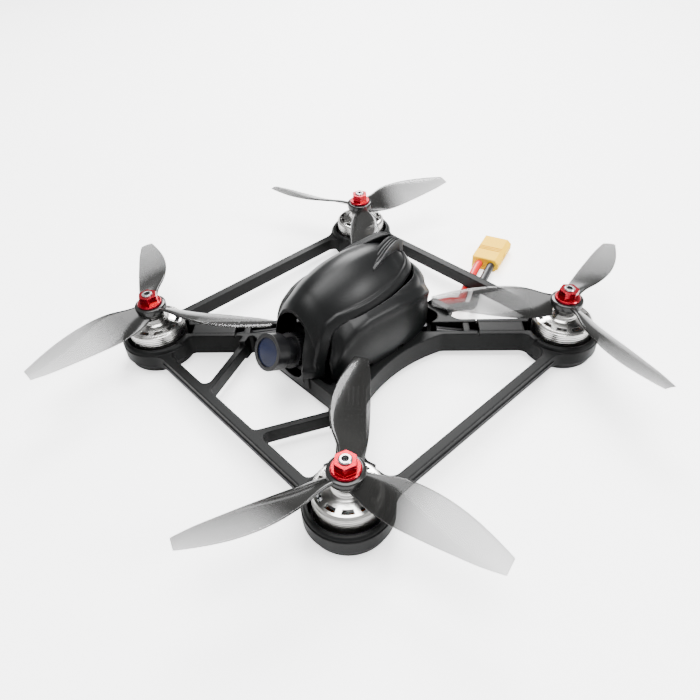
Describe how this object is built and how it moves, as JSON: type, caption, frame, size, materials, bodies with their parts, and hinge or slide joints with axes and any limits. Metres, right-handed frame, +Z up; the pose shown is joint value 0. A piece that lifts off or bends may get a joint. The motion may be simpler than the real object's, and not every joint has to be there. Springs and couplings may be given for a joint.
{
  "type": "racing quadcopter drone",
  "caption": "Compact ring-framed racing quadcopter with a smooth canopy, tilting nose camera, smoky propellers and a free battery lead with plug.",
  "frame": {"origin": "on the ground under the belly plate, midway between the four motor axes", "axes": "+Z up along the motor axes, nose and camera towards -Y, +X towards the aircraft's left"},
  "size_m": [0.2663, 0.2683, 0.0582],
  "materials": {
    "bell_metal": "bright turned, fine steps round the side",
    "black_steel": "black oxide",
    "blade_smoke": "translucent smoky polycarbonate",
    "board_green": "dark solder mask",
    "camera_black": "satin black anodised look",
    "capacitor_skin": "shrunk sleeve",
    "copper": "enamelled copper wire",
    "cover_plastic": "satin black moulding",
    "frame_plastic": "fine matt moulded texture",
    "gold": "gold plated",
    "lead_black": "soft silicone jacket",
    "lead_red": "soft silicone jacket",
    "lens_glass": "coated front element",
    "magnet": "nickel plated",
    "nut_red": "glossy red anodised",
    "plug_yellow": "warm yellow nylon",
    "steel": "plain"
  },
  "bodies": {
    "airframe": {"antenna_connector": "gold", "arm_covers": "frame_plastic", "battery_lead_black": "lead_black", "battery_lead_red": "lead_red", "battery_plug": "plug_yellow", "belly_plate": "frame_plastic", "belly_screws": "black_steel", "camera_cradle": "frame_plastic", "canopy": "cover_plastic", "flight_controller": "board_green", "frame": "frame_plastic", "lead_clips": "frame_plastic", "lead_grommet": "lead_black", "lower_shell": "cover_plastic", "motor_base_front_left": "bell_metal", "motor_base_front_right": "bell_metal", "motor_base_rear_left": "bell_metal", "motor_base_rear_right": "bell_metal", "motor_bearings": "steel", "motor_leads": "lead_black", "motor_screws": "black_steel", "plug_contacts": "gold", "power_board": "board_green", "power_capacitor": "capacitor_skin", "radio_receiver": "board_green", "stack_nuts": "steel", "stack_screws": "black_steel", "stack_spacers": "lead_black", "stators": "magnet", "tail_vent": "cover_plastic", "video_transmitter": "board_green", "windings": "copper"},
    "camera": {"camera_board": "board_green", "camera_housing": "camera_black", "camera_pivot_screws": "black_steel"},
    "lens": {"lens_barrel": "camera_black", "lens_glass": "lens_glass"},
    "lock_ring": {"lens_lock_ring": "camera_black"},
    "rotor_front_right": {"bell_front_right": "bell_metal", "magnets_front_right": "magnet", "prop_nut_front_right": "nut_red", "propeller_front_right": "blade_smoke", "shaft_front_right": "steel"},
    "rotor_front_left": {"bell_front_left": "bell_metal", "magnets_front_left": "magnet", "prop_nut_front_left": "nut_red", "propeller_front_left": "blade_smoke", "shaft_front_left": "steel"},
    "rotor_rear_right": {"bell_rear_right": "bell_metal", "magnets_rear_right": "magnet", "prop_nut_rear_right": "nut_red", "propeller_rear_right": "blade_smoke", "shaft_rear_right": "steel"},
    "rotor_rear_left": {"bell_rear_left": "bell_metal", "magnets_rear_left": "magnet", "prop_nut_rear_left": "nut_red", "propeller_rear_left": "blade_smoke", "shaft_rear_left": "steel"}
  },
  "joints": [
    {"name": "front_right_spin", "type": "hinge", "parent": "airframe", "child": "rotor_front_right", "pos_m": [-0.071, -0.071, 0.0184], "axis": [0, 0, 1], "continuous": true},
    {"name": "front_left_spin", "type": "hinge", "parent": "airframe", "child": "rotor_front_left", "pos_m": [0.071, -0.071, 0.0184], "axis": [0, 0, 1], "continuous": true},
    {"name": "rear_right_spin", "type": "hinge", "parent": "airframe", "child": "rotor_rear_right", "pos_m": [-0.071, 0.071, 0.0184], "axis": [0, 0, 1], "continuous": true},
    {"name": "rear_left_spin", "type": "hinge", "parent": "airframe", "child": "rotor_rear_left", "pos_m": [0.071, 0.071, 0.0184], "axis": [0, 0, 1], "continuous": true},
    {"name": "camera_tilt", "type": "hinge", "parent": "airframe", "child": "camera", "pos_m": [0, -0.0277, 0.0181], "axis": [-1, 0, 0], "range_deg": [-15, 18]},
    {"name": "lens_focus", "type": "hinge", "parent": "camera", "child": "lens", "pos_m": [0, -0.0399, 0.02445], "axis": [0, -0.887, 0.4617], "range_deg": [-180, 180]},
    {"name": "lock_ring_turn", "type": "hinge", "parent": "camera", "child": "lock_ring", "pos_m": [0, -0.0399, 0.02445], "axis": [0, -0.887, 0.4617], "range_deg": [-90, 90]}
  ]
}
